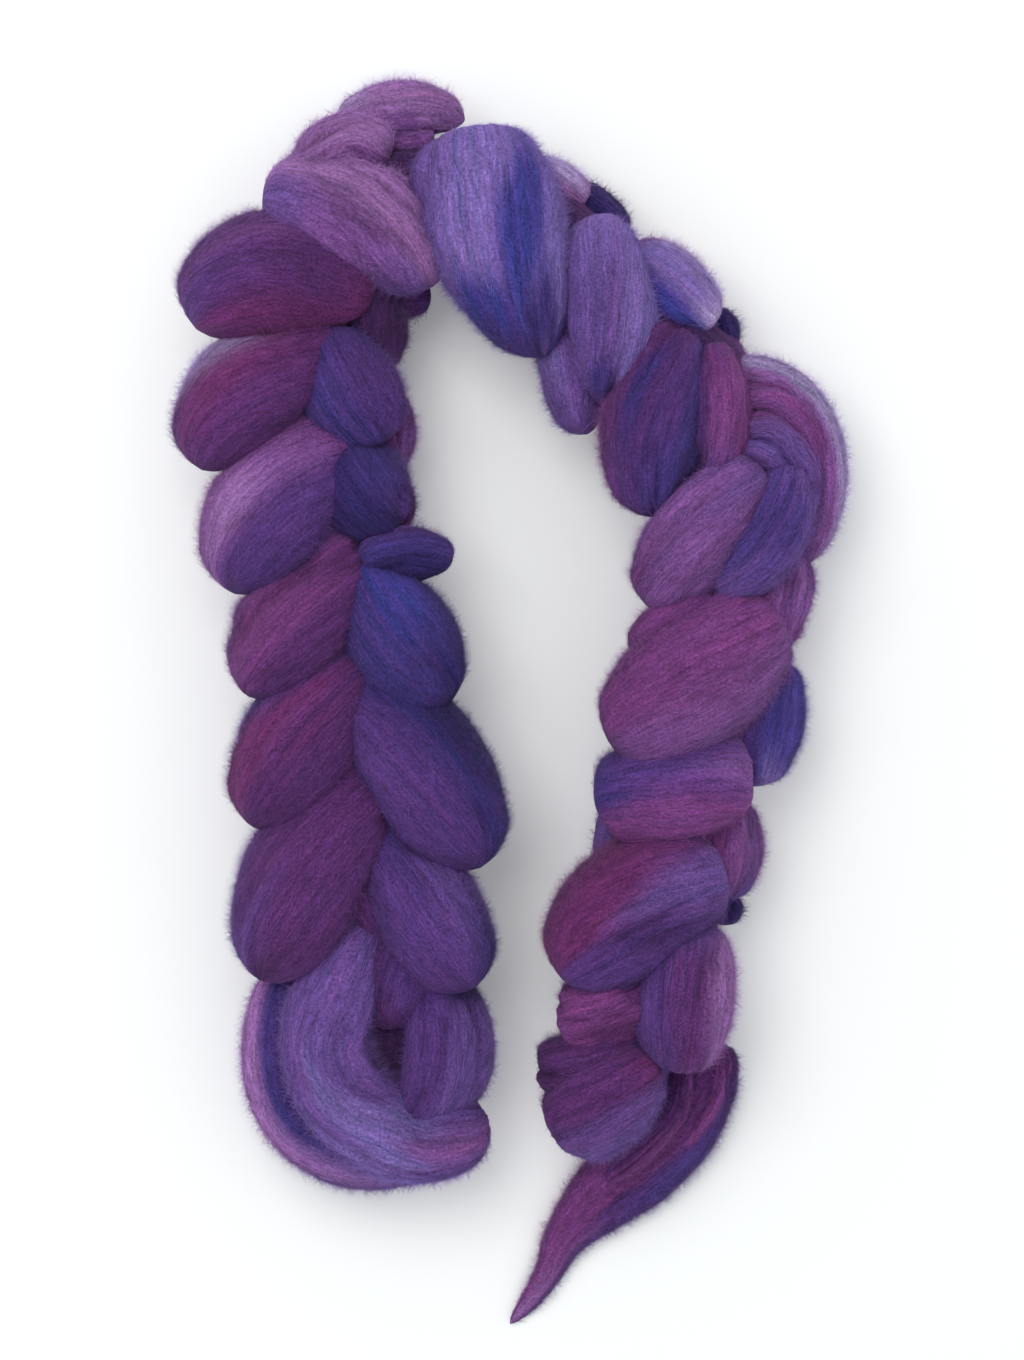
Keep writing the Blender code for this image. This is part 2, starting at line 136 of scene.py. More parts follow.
# The dyes as they dry on the wool, and a near-black painted shade
DYES = {
    "lavender": (0.20, 0.13, 0.40),
    "mist": (0.38, 0.29, 0.52),
    "haze": (0.52, 0.43, 0.63),
    "violet": (0.15, 0.075, 0.29),
    "purple": (0.10, 0.04, 0.20),
    "plum": (0.11, 0.03, 0.15),
    "aubergine": (0.06, 0.02, 0.09),
    "crimson": (0.16, 0.029, 0.14),
    "magenta": (0.20, 0.05, 0.21),
    "orchid": (0.21, 0.08, 0.28),
    "pink": (0.31, 0.14, 0.37),
    "blue": (0.058, 0.046, 0.27),
    "indigo": (0.06, 0.036, 0.19),
    "iris": (0.09, 0.048, 0.24),
    "ink": (0.042, 0.027, 0.16),
    "navy": (0.034, 0.02, 0.12),
    "sloe": (0.03, 0.012, 0.05),
}

# One stretch of wool: its route (mm), width and thickness, its width at both ends as a
# part of its width, and its dyes: where it starts, at its belly, where it ends, and
# down its right and left as it runs. A patch is a place along it (0 to 1) and across it
# (-1 left to 1 right), how long and wide it is in the same shares, and its dye. The belly
# is its widest place along it, and roll leans it to one side (degrees).
Stretch = namedtuple("Stretch", "name route width thick start_share end_share dyes patches belly "
                     "roll", defaults=((), 0.5, 0))

# A stretch that arches over its middle: where that lies and how high, which way it heads
# (degrees from +X), its length from end to end, how far its middle bows out to the right
# of the straight way, and how far its start and end dip below it (mm).
Arch = namedtuple("Arch", "name x y top heading length bow width thick start_share end_share dyes "
                  "patches belly roll dips", defaults=((), 0.5, 0, (13, 11)))
LEFT_ARM = (
    Arch("left_1", -91, 153, 50, 202, 77, 17, 47, 38, 0.6, 0.42,
         "crimson plum purple orchid crimson", belly=0.55, roll=12, dips=(13, 6)),
    Arch("left_2", -97, 110, 49, 229, 80, 12, 41, 36, 0.6, 0.35,
         "plum crimson plum mist plum", belly=0.55, roll=16, dips=(13, 6)),
    Arch("left_3", -88, 68, 49, 239, 83, 9, 44, 36, 0.6, 0.35,
         "plum orchid orchid magenta purple", ((0.75, 0.1, 0.2, 0.4, "pink"),),
         belly=0.55, roll=16, dips=(13, 6)),
    Arch("left_4", -80, 28, 49, 236, 79, 3, 41, 36, 0.6, 0.35,
         "plum magenta magenta orchid plum", belly=0.55, roll=16, dips=(13, 6)),
    Arch("left_5", -78, -16, 49, 240, 86, 2, 41, 37, 0.6, 0.35,
         "plum crimson crimson violet plum", ((0.25, 0.5, 0.3, 0.6, "indigo"),),
         belly=0.55, roll=16, dips=(13, 6)),
    Arch("left_6", -75, -63, 49, 243, 106, 5, 45, 39, 0.6, 0.35,
         "plum plum purple violet plum", belly=0.55, roll=16, dips=(13, 6)),
    Arch("right_2", -57, 109, 46, 298, 50, 0, 34, 34, 0.6, 0.35,
         "indigo purple purple indigo purple", belly=0.55, roll=-16, dips=(10, 8)),
    Arch("right_3", -52, 75, 45, 308, 35, 0, 33, 32, 0.6, 0.55,
         "navy indigo purple navy plum", roll=-16, dips=(9, 9)),
    Arch("right_4", -37, 55, 44, 348, 29, -4, 18, 28, 0.6, 0.6,
         "indigo indigo indigo navy purple", dips=(2, 12)),
    Arch("right_5", -37, 21, 48, 305, 68, 1, 38, 35, 0.6, 0.35,
         "indigo indigo ink indigo navy", ((0.3, 0.3, 0.25, 0.4, "blue"),),
         belly=0.55, roll=-16, dips=(12, 6)),
    Arch("right_6", -27, -27, 50, 302, 96, -5, 45, 38, 0.6, 0.35,
         "indigo ink indigo purple navy", ((0.45, -0.35, 0.3, 0.3, "navy"),),
         belly=0.55, roll=-16, dips=(13, 6)),
    Arch("right_7", -28, -76, 49, 299, 79, 0, 38, 36, 0.6, 0.35,
         "indigo violet ink purple ink", belly=0.55, roll=-16, dips=(13, 6)),
    Arch("side_1", -49, 134, 36, 270, 31, -2, 20, 20, 0.7, 0.4,
         "aubergine aubergine plum aubergine plum", dips=(2, 8)),
    Arch("side_2", -45, 97, 31, 270, 34, -2, 16, 18, 0.5, 0.4,
         "magenta orchid pink magenta pink", dips=(1, 5)),
    Arch("side_3", -43, 73, 28, 270, 20, -1, 12, 14, 0.5, 0.5,
         "purple plum magenta plum purple", dips=(0, 4)),
    Arch("sliver", -49, -72, 46, 292, 34, 0, 18, 20, 0.5, 0.4,
         "aubergine plum plum plum plum", dips=(2, 6)),
)

# How the wool is combed: smooth swells, deep furrows between strands, and fine ones (mm),
# how wide the furrows are, how much of them shows, and how far they wander (radians)
SWELL = 1.1
FURROW = 2.8
FINE_FURROW = 1.0
FURROW_EDGE = 0.15
FINE_EDGE = 0.3
FURROW_SHOWS = 0.3
FURROW_WANDER = 0.3

# The form of a stretch: its section between round and square, how full it is between its
# ends, how round its ends are, and how it settles on the table (mm)
SQUARENESS = 2 / 2.35
FULLNESS = 0.75
THINNING = 0.7
END_ROUNDING = 0.15
SMALLEST_RADIUS = 4
FLOOR_GAP = 0.35
FLOOR_SOFTNESS = 0.8

# How finely it is made: the steps of its route, and the sides and rings of its ball
CURVE_STEPS = 40
ARCH_STEPS = 60
ARCH_STRIDE = 10
ROUTE_STEPS = 60
MIDDLE_STEPS = 360
BIG_STRETCH = 30
DETAIL = {"big": (64, 34), "small": (48, 26), "hidden": (28, 18)}

# How it is dyed: how ragged the dyes' edges are along it and across it, where one dye gives
# way to the next, how far a patch fades, how strong the streaks are, and how much darker
# a furrow is painted as shade and how much lighter a swell is painted as light
RAGGED_ALONG = 0.16
RAGGED_ACROSS = 0.3
START_REACH = 0.45
END_FROM = 0.55
END_REACH = 0.4
SIDE_FROM = 0.15
SIDE_REACH = 0.8
PATCH_FADE = 1.5
STREAKS = 0.08
FURROW_SHADOW = 0.09
DARKEST_PAINTED_FURROW_SHADE = -0.4
LIGHTEST_PAINTED_SWELL_LIGHT = 0.1

# Chance patterns on a stretch: the number added to its seed, and how many values lie
# along it and round it
Pattern = namedtuple("Pattern", "number rows columns")
WANDERING = Pattern(0, 2, 3)
SWELLS = Pattern(1, 2, 7)
FURROWS = Pattern(2, 2, 11)
FURROWS_SHOW = Pattern(3, 2, 5)
FINE_FURROWS = Pattern(4, 3, 26)
FINE_SHOW = Pattern(5, 4, 9)
DYES_ALONG = Pattern(6, 2, 17)
DYES_ACROSS = Pattern(7, 2, 15)
LONG_STREAKS = Pattern(8, 2, 31)
SHORT_STREAKS = Pattern(9, 5, 67)

# Each stretch has a seed of its own, this far from the one before it. The fibres' pattern
# is shifted by the seed, and laid round the stretch for its girth, as a share of its
# width and thickness together.
SEED_STEP = 20
FIBRE_SHIFT = 7
GIRTH_SHARE = 1.6

Body = namedtuple("Body", "name line side out width thick length seed dyes patches")


def smooth_route(points, count):
    """count evenly spaced points of a smooth curve through the points, and its headings."""
    ends = np.array([2 * points[0] - points[1], *points, 2 * points[-1] - points[-2]])
    pieces = []
    for before, here, after, last in zip(ends, ends[1:], ends[2:], ends[3:]):
        t = np.linspace(0, 1, CURVE_STEPS, endpoint=False)[:, None]
        pieces.append(0.5 * (2 * here + (after - before) * t
                             + (2 * before - 5 * here + 4 * after - last) * t ** 2
                             + (3 * here - before - 3 * after + last) * t ** 3))
    line = np.vstack([*pieces, points[-1:]])
    run = np.r_[0, np.cumsum(np.linalg.norm(np.diff(line, axis=0), axis=1))]
    even = np.linspace(0, run[-1], count)
    line = np.stack([np.interp(even, run, line[:, k]) for k in range(3)], axis=1)
    heading = np.gradient(line, axis=0)
    return line, heading / np.linalg.norm(heading, axis=1)[:, None]


def arc_route(points, count):
    """The same for a route of three points: one arch over the middle one, less its last part."""
    start, middle, end = points
    control = 2 * middle - (start + end) / 2
    t = np.linspace(0, 1, ARCH_STEPS)[:, None]
    arch = (1 - t) ** 2 * start + 2 * t * (1 - t) * control + t ** 2 * end
    return smooth_route(arch[::ARCH_STRIDE], count)


middle_line, middle_heading = smooth_route(
    np.array([(row.x, row.y, CORE_HEIGHT) for row in MIDDLE], float), MIDDLE_STEPS)


def outward(line, heading):
    """Unit vectors that point away from the braid's middle, mostly up, square to the heading."""
    flat = np.linalg.norm(line[:, None, :2] - middle_line[None, :, :2], axis=2)
    away = line - middle_line[np.argmin(flat, axis=1)]
    away[:, 2] = np.maximum(away[:, 2], 0) + CORE_THICK * CORE_RISE
    away -= (away * heading).sum(axis=1)[:, None] * heading
    return away / np.linalg.norm(away, axis=1)[:, None]


def rounded_ends(t):
    """1 along a stretch, falling to 0 at both ends as a round cap does."""
    near = np.clip(np.minimum(t, 1 - t) / END_ROUNDING, 0, 1)
    return np.sqrt(1 - (1 - near) ** 2)


def body_along(name, line, heading, out, width, thick, seed, dyes, patches=(), roll=0):
    """A stretch worked out along a line, with its section turned by roll (degrees)."""
    length = np.linalg.norm(np.diff(line, axis=0), axis=1).sum()
    side = np.cross(heading, out)
    turn = math.radians(roll)
    return Body(name, line, side * math.cos(turn) - out * math.sin(turn),
                out * math.cos(turn) + side * math.sin(turn), width, thick, length, seed,
                dyes.split(), patches)


def as_stretch(row):
    """A row of a table as a stretch: an arch gets its route of start, middle and end."""
    if isinstance(row, Stretch):
        return row
    turn = math.radians(row.heading)
    half_way = np.array([math.cos(turn), math.sin(turn)]) * row.length / 2
    straight = np.array([row.x, row.y]) - row.bow * np.array([math.sin(turn), -math.cos(turn)])
    start_dip, end_dip = row.dips
    route = ((*(straight - half_way), row.top - start_dip), (row.x, row.y, row.top),
             (*(straight + half_way), row.top - end_dip))
    return Stretch(row.name, route, row.width, row.thick, row.start_share, row.end_share,
                   row.dyes, row.patches, row.belly, row.roll)


def body_of(row, seed):
    """A row of a table worked out: widest at its belly and thinner towards both ends."""
    stretch = as_stretch(row)
    points = np.array(stretch.route, float)
    route = arc_route if len(points) == 3 else smooth_route
    line, heading = route(points, ROUTE_STEPS)
    t = np.linspace(0, 1, len(line))
    bent = t ** (math.log(0.5) / math.log(stretch.belly))
    share = np.where(bent < 0.5, stretch.start_share, stretch.end_share)
    plump = share + (1 - share) * np.sin(math.pi * bent) ** FULLNESS
    cap = rounded_ends(t)
    return body_along(stretch.name, line, heading, outward(line, heading),
                      stretch.width * plump * cap, stretch.thick * plump ** THINNING * cap,
                      seed, stretch.dyes, stretch.patches, stretch.roll)


def read(values, t):
    """Values at even steps along a stretch, read at the places t."""
    steps = np.linspace(0, 1, len(values))
    if values.ndim == 1:
        return np.interp(t, steps, values)
    return np.stack([np.interp(t, steps, values[:, k]) for k in range(3)], axis=1)


def ease(x):
    x = np.clip(x, 0, 1)
    return x * x * (3 - 2 * x)


def grain(body, pattern, t, angle):
    """Smooth chance values from -1 to 1, at places on a stretch."""
    chance = np.random.default_rng(body.seed + pattern.number)
    table = chance.uniform(-1, 1, (pattern.rows + 2, pattern.columns))
    down = np.clip(t, 0, 1) * pattern.rows
    beside = (angle / TURN % 1) * pattern.columns
    i = down.astype(int)
    j = beside.astype(int) % pattern.columns
    beyond = (j + 1) % pattern.columns
    a = ease(down - i)
    b = ease(beside - np.floor(beside))
    upper = table[i, j] * (1 - b) + table[i, beyond] * b
    lower = table[i + 1, j] * (1 - b) + table[i + 1, beyond] * b
    return upper * (1 - a) + lower * a


def furrows(body, t, angle, depth, edge, where, shows):
    """How deep one kind of furrow is (mm): it runs where its pattern crosses 0."""
    near = np.exp(-(grain(body, where, t, angle) / edge) ** 2)
    return depth * near * np.clip(FURROW_SHOWS + grain(body, shows, t, angle), 0, 1)


def relief(body, t, angle):
    """How far the combed wool swells out, or is furrowed, at places on a stretch (mm)."""
    bent = angle + FURROW_WANDER * grain(body, WANDERING, t, angle)
    swell = SWELL * grain(body, SWELLS, t, bent)
    deep = furrows(body, t, bent, FURROW, FURROW_EDGE, FURROWS, FURROWS_SHOW)
    fine = furrows(body, t, bent, FINE_FURROW, FINE_EDGE, FINE_FURROWS, FINE_SHOW)
    return swell - deep - fine


def rounded_square(x):
    return np.sign(x) * np.abs(x) ** SQUARENESS


def on_surface(body, t, angle, lift=0.0):
    """Places on a stretch (mm): t runs along it and angle round it, lift stands proud of it."""
    across = rounded_square(np.cos(angle)) * read(body.width, t) / 2
    up = rounded_square(np.sin(angle)) * read(body.thick, t) / 2
    radius = np.hypot(across, up)
    full = np.clip(radius / SMALLEST_RADIUS / 2, 0, 1)
    proud = 1 + (relief(body, t, angle) * full + lift) / np.maximum(radius, SMALLEST_RADIUS)
    place = (read(body.line, t) + read(body.side, t) * (across * proud)[:, None]
             + read(body.out, t) * (up * proud)[:, None])
    over = (place[:, 2] - FLOOR_GAP) / FLOOR_SOFTNESS
    place[:, 2] = FLOOR_GAP + FLOOR_SOFTNESS * np.logaddexp(0, over)
    return place


def blend(colour, other, share):
    return colour + (np.array(other) - colour) * share[:, None]


def dyed_and_shaded(body, t, angle):
    """The colour of the wool at places on a stretch, with ragged edges along its fibres, painted
    darker in its furrows as shade and lighter on its swells as light.
    """
    start, belly, end, right, left = (DYES[name] for name in body.dyes)
    along = t + RAGGED_ALONG * grain(body, DYES_ALONG, t, angle)
    beside = np.cos(angle) + RAGGED_ACROSS * grain(body, DYES_ACROSS, t, angle)
    colour = np.tile(start, (len(t), 1)).astype(float)
    colour = blend(colour, belly, ease(along / START_REACH))
    colour = blend(colour, end, ease((along - END_FROM) / END_REACH))
    colour = blend(colour, right, ease((beside - SIDE_FROM) / SIDE_REACH))
    colour = blend(colour, left, ease((-beside - SIDE_FROM) / SIDE_REACH))
    for place, across, long, wide, dye in body.patches:
        far = np.hypot((along - place) / long, (beside - across) / wide)
        colour = blend(colour, DYES[dye], ease(PATCH_FADE - far))
    streaks = (STREAKS * grain(body, LONG_STREAKS, t, angle)
               + STREAKS * grain(body, SHORT_STREAKS, t, angle))
    # Painted shade in the furrows and painted light on the swells, from the wool's relief
    painted_shade_and_light = np.clip(FURROW_SHADOW * relief(body, t, angle), DARKEST_PAINTED_FURROW_SHADE, LIGHTEST_PAINTED_SWELL_LIGHT)
    return colour * (1 + streaks + painted_shade_and_light)[:, None]


balls = {}


def plain_ball(detail):
    """A UV sphere as a mesh, and where each vertex and each face's corner lies on it."""
    if detail in balls:
        return balls[detail]
    around, rings = DETAIL[detail]
    bm = bmesh.new()
    bm.loops.layers.uv.new("fibres")
    bmesh.ops.create_uvsphere(bm, u_segments=around, v_segments=rings, radius=1, calc_uvs=True)
    mesh = bpy.data.meshes.new(detail)
    bm.to_mesh(mesh)
    bm.free()
    uv = np.zeros(len(mesh.loops) * 2)
    mesh.uv_layers["fibres"].data.foreach_get("uv", uv)
    uv = uv.reshape(-1, 2)
    corner = np.zeros(len(mesh.loops), int)
    mesh.loops.foreach_get("vertex_index", corner)
    t = (1 - np.cos(math.pi * (1 - uv[:, 1]))) / 2
    angle = TURN * uv[:, 0] - TURN / 4
    vertex_t = np.zeros(len(mesh.vertices))
    vertex_angle = np.zeros(len(mesh.vertices))
    vertex_t[corner] = t
    vertex_angle[corner] = angle
    balls[detail] = (mesh, t, uv[:, 0], vertex_t, vertex_angle)
    return balls[detail]


def add_body(bm, body, detail):
    """Adds a stretch to a mesh: a ball drawn out along its route, combed and coloured with its dyes,
    painted shade in its furrows and painted light on its swells.
    """
    ball, t, round_it, vertex_t, vertex_angle = plain_ball(detail)
    mesh = ball.copy()
    place = (on_surface(body, vertex_t, vertex_angle) - BOX_MIDDLE) * MM
    mesh.vertices.foreach_set("co", place.ravel())
    girth = GIRTH_SHARE * (body.width.max() + body.thick.max())
    strands = np.stack([t * body.length + FIBRE_SHIFT * body.seed,
                        round_it * girth + body.seed], axis=1)
    mesh.uv_layers["fibres"].data.foreach_set("uv", (strands * MM).ravel())
    # This colour attribute holds the dyes together with the painted shade and light of the relief
    dye = mesh.color_attributes.new("dye", "FLOAT_COLOR", "POINT")
    colour = np.ones((len(vertex_t), 4))
    colour[:, :3] = np.clip(dyed_and_shaded(body, vertex_t, vertex_angle), 0, 1)
    dye.data.foreach_set("color", colour.ravel())
    bm.from_mesh(mesh)
    bpy.data.meshes.remove(mesh)


def new_node(tree, kind, **values):
    node = tree.nodes.new(kind)
    for name, value in values.items():
        setattr(node, name, value)
    return node


def new_noise(tree, scale, detail, **values):
    noise = new_node(tree, "ShaderNodeTexNoise", **values)
    noise.inputs["Scale"].default_value = scale
    noise.inputs["Detail"].default_value = detail
    return noise


def new_level(tree, lowest, highest):
    """Spreads a noise's values, which lie round 0.5, from lowest to highest."""
    level = new_node(tree, "ShaderNodeMapRange")
    level.inputs["From Min"].default_value = 0.3
    level.inputs["From Max"].default_value = 0.7
    level.inputs["To Min"].default_value = lowest
    level.inputs["To Max"].default_value = highest
    return level


def new_run(tree, along, across):
    """The fibres' own map, with so many grains to a metre along them and across them."""
    run = new_node(tree, "ShaderNodeMapping")
    run.inputs["Scale"].default_value = (along, across, 1)
    return run


def new_math(tree, operation):
    return new_node(tree, "ShaderNodeMath", operation=operation)


def new_wool(name, roughness, shine, sheen, sheen_roughness, bloom):
    """A matt material with a soft bloom at its edges, and its tree and shader."""
    material = bpy.data.materials.new(name)
    material.use_nodes = True
    shader = material.node_tree.nodes["Principled BSDF"]
    shader.inputs["Roughness"].default_value = roughness
    shader.inputs["Specular IOR Level"].default_value = shine
    shader.inputs["Sheen Weight"].default_value = sheen
    shader.inputs["Sheen Roughness"].default_value = sheen_roughness
    shader.inputs["Sheen Tint"].default_value = bloom
    return material, material.node_tree, shader


def wool(name):
    """Combed wool: the colour of its dyes with their painted shade and light, streaked along its
    fibres, with locks, folds darkened as painted shade, and a felted grain.
    """
    material, tree, shader = new_wool(name, roughness=0.9, shine=0.15, sheen=0.15,
                                      sheen_roughness=0.5, bloom=(0.65, 0.42, 0.85, 1))
    link = tree.links.new
    dye = new_node(tree, "ShaderNodeAttribute", attribute_name="dye")
    fibres = new_node(tree, "ShaderNodeUVMap", uv_map="fibres")
    place = new_node(tree, "ShaderNodeTexCoord")

    # Fine streaks of single fibres
    fine_run = new_run(tree, along=120, across=1200)
    fine = new_noise(tree, scale=1, detail=4, noise_dimensions="2D")
    fine.inputs["Roughness"].default_value = 0.65
    fine.inputs["Distortion"].default_value = 0.4
    fine_level = new_level(tree, lowest=0.7, highest=1.36)
    link(fibres.outputs["UV"], fine_run.inputs["Vector"])
    link(fine_run.outputs["Vector"], fine.inputs["Vector"])
    link(fine.outputs["Fac"], fine_level.inputs["Value"])

    # Broader locks, which differ a little in depth and hue
    lock_run = new_run(tree, along=22, across=260)
    locks = new_noise(tree, scale=1, detail=2, noise_dimensions="2D")
    lock_level = new_level(tree, lowest=0.92, highest=1.08)
    hue_level = new_level(tree, lowest=0.485, highest=0.515)
    hue = new_node(tree, "ShaderNodeHueSaturation")
    link(fibres.outputs["UV"], lock_run.inputs["Vector"])
    link(lock_run.outputs["Vector"], locks.inputs["Vector"])
    link(locks.outputs["Fac"], lock_level.inputs["Value"])
    link(locks.outputs["Fac"], hue_level.inputs["Value"])
    link(dye.outputs["Color"], hue.inputs["Color"])
    link(hue_level.outputs["Result"], hue.inputs["Hue"])

    # Narrow folds between strands, where a long slow noise crosses its middle, sunk in relief and
    # darkened as painted shade
    fold_run = new_run(tree, along=9, across=120)
    folds = new_noise(tree, scale=1, detail=1, noise_dimensions="2D")
    off_middle = new_math(tree, "SUBTRACT")
    off_middle.inputs[1].default_value = 0.5
    from_fold = new_math(tree, "ABSOLUTE")
    fold_and_painted_shade = new_node(tree, "ShaderNodeMapRange", interpolation_type="SMOOTHSTEP")
    fold_and_painted_shade.inputs["From Max"].default_value = 0.06
    fold_and_painted_shade.inputs["To Min"].default_value = 0.84
    fold_and_painted_shade.inputs["To Max"].default_value = 1.02
    link(fibres.outputs["UV"], fold_run.inputs["Vector"])
    link(fold_run.outputs["Vector"], folds.inputs["Vector"])
    link(folds.outputs["Fac"], off_middle.inputs[0])
    link(off_middle.outputs["Value"], from_fold.inputs[0])
    link(from_fold.outputs["Value"], fold_and_painted_shade.inputs["Value"])

    # A fine felted grain that runs no way
    felt = new_noise(tree, scale=1100, detail=3)
    felt_level = new_level(tree, lowest=0.64, highest=1.4)
    link(place.outputs["Object"], felt.inputs["Vector"])
    link(felt.outputs["Fac"], felt_level.inputs["Value"])

    # The dye is made deeper and paler by all four; in the folds it is darkened as painted shade
    streaked = new_math(tree, "MULTIPLY")
    felted = new_math(tree, "MULTIPLY")
    grain_and_fold_shade = new_math(tree, "MULTIPLY")
    shaded = new_node(tree, "ShaderNodeVectorMath", operation="SCALE")
    link(fine_level.outputs["Result"], streaked.inputs[0])
    link(lock_level.outputs["Result"], streaked.inputs[1])
    link(streaked.outputs["Value"], felted.inputs[0])
    link(felt_level.outputs["Result"], felted.inputs[1])
    link(felted.outputs["Value"], grain_and_fold_shade.inputs[0])
    link(fold_and_painted_shade.outputs["Result"], grain_and_fold_shade.inputs[1])
    link(hue.outputs["Color"], shaded.inputs[0])
    link(grain_and_fold_shade.outputs["Value"], shaded.inputs["Scale"])
    link(shaded.outputs["Vector"], shader.inputs["Base Color"])

    # The fibres, the felt and the folds stand in relief
    height = new_math(tree, "ADD")
    fold_height = new_math(tree, "MULTIPLY_ADD")
    fold_height.inputs[1].default_value = 2
    bump = new_node(tree, "ShaderNodeBump")
    bump.inputs["Strength"].default_value = 0.8
    bump.inputs["Distance"].default_value = 0.0008
    link(fine.outputs["Fac"], height.inputs[0])
    link(felt.outputs["Fac"], height.inputs[1])
    link(fold_and_painted_shade.outputs["Result"], fold_height.inputs[0])
    link(height.outputs["Value"], fold_height.inputs[2])
    link(fold_height.outputs["Value"], bump.inputs["Height"])
    link(bump.outputs["Normal"], shader.inputs["Normal"])
    return material


combed_wool = wool("combed_wool")


def piece_from(name, bm, material, slot):
    """A mesh as a piece of its own, which shows the part of the braid that slot names."""
    mesh = bpy.data.meshes.new(name)
    bm.to_mesh(mesh)
    bm.free()
    mesh.shade_smooth()
    mesh.materials.append(material)
    obj = bpy.data.objects.new(name, mesh)
    bpy.context.scene.collection.objects.link(obj)
    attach(obj, "root")
    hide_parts(slot)
    return obj


wool_pieces = []
groups = {}


def make_group(name, rows, seed):
    """One piece of the stretches of one part of the braid."""
    bodies = [body_of(row, seed + SEED_STEP * count) for count, row in enumerate(rows)]
    bm = bmesh.new()
    for body in bodies:
        add_body(bm, body, "big" if body.width.max() >= BIG_STRETCH else "small")
    wool_pieces.append(piece_from(f"{name}_wool", bm, combed_wool, "braid"))
    groups[name] = bodies


make_group("left_arm", LEFT_ARM, 1000)

# The bend: where the braid turns back towards the viewer. Its loops fan out round the
# outside, and the largest stretch, the crown, shows the braid's palest and bluest dye.

BEND = (
    Arch("back_1", -36, 216, 33, 0, 54, -6, 17, 20, 0.5, 0.15,
         "mist pink pink pink haze", dips=(3, 9)),
    Arch("back_2", -37, 206, 35, 2, 25, 0, 15, 20, 0.6, 0.6,
         "orchid orchid pink orchid magenta", dips=(1, 3)),
    Arch("upper_split", -58, 200, 44, 10, 38, -13, 22, 26, 0.6, 0.6,
         "orchid pink pink orchid pink", dips=(8, 2)),
    Arch("lower_split", -61, 177, 50, 161, 80, 10, 39, 35, 0.55, 0.5,
         "violet orchid violet pink violet", roll=-12, dips=(12, 9)),
    Arch("inner_bit", -39, 151, 28, 5, 26, 0, 13, 20, 0.6, 0.6,
         "purple plum purple purple plum", dips=(2, 4)),
    Arch("crown", -1, 158, 51, 292, 100, -1, 51, 40, 0.72, 0.3,
         "lavender lavender blue violet lavender",
         ((0.5, -0.6, 0.3, 0.3, "blue"), (0.74, 0.3, 0.2, 0.8, "blue"),
          (0.92, 0, 0.14, 1.6, "indigo")), belly=0.36, dips=(13, 8)),
    Arch("back_3", 17, 187, 31, 324, 27, -1, 16, 20, 0.5, 0.5,
         "mist mist pink pink haze", dips=(3, 5)),
    Arch("back_4", 33, 179, 26, 314, 30, -2, 14, 14, 0.5, 0.5,
         "navy navy navy navy aubergine", dips=(2, 4)),
    Arch("shoulder", 36, 135, 50, 274, 78, -6, 31, 34, 0.65, 0.25,
         "lavender violet violet violet lavender", ((0.88, 0, 0.15, 0.5, "indigo"),),
         belly=0.45, dips=(12, 10)),
    Arch("shoulder_split", 20, 121, 40, 284, 67, 3, 19, 22, 0.5, 0.5,
         "violet lavender violet violet violet", dips=(8, 7)),
    Arch("back_5", 59, 147, 38, 317, 40, -2, 27, 28, 0.6, 0.6,
         "lavender lavender mist blue mist", dips=(6, 8)),
    Arch("back_6", 61, 156, 28, 318, 41, -4, 13, 15, 0.4, 0.4,
         "orchid pink plum orchid pink", dips=(2, 6)),
    Arch("back_7", 76, 137, 24, 292, 18, 0, 12, 12, 0.4, 0.4,
         "navy navy navy navy navy", dips=(0, 5)),
)
make_group("bend", BEND, 2000)

# The right arm: loops of the same chain on the way back, a little slimmer, with shorter
# stretches round the outside where the next loop's head shows.

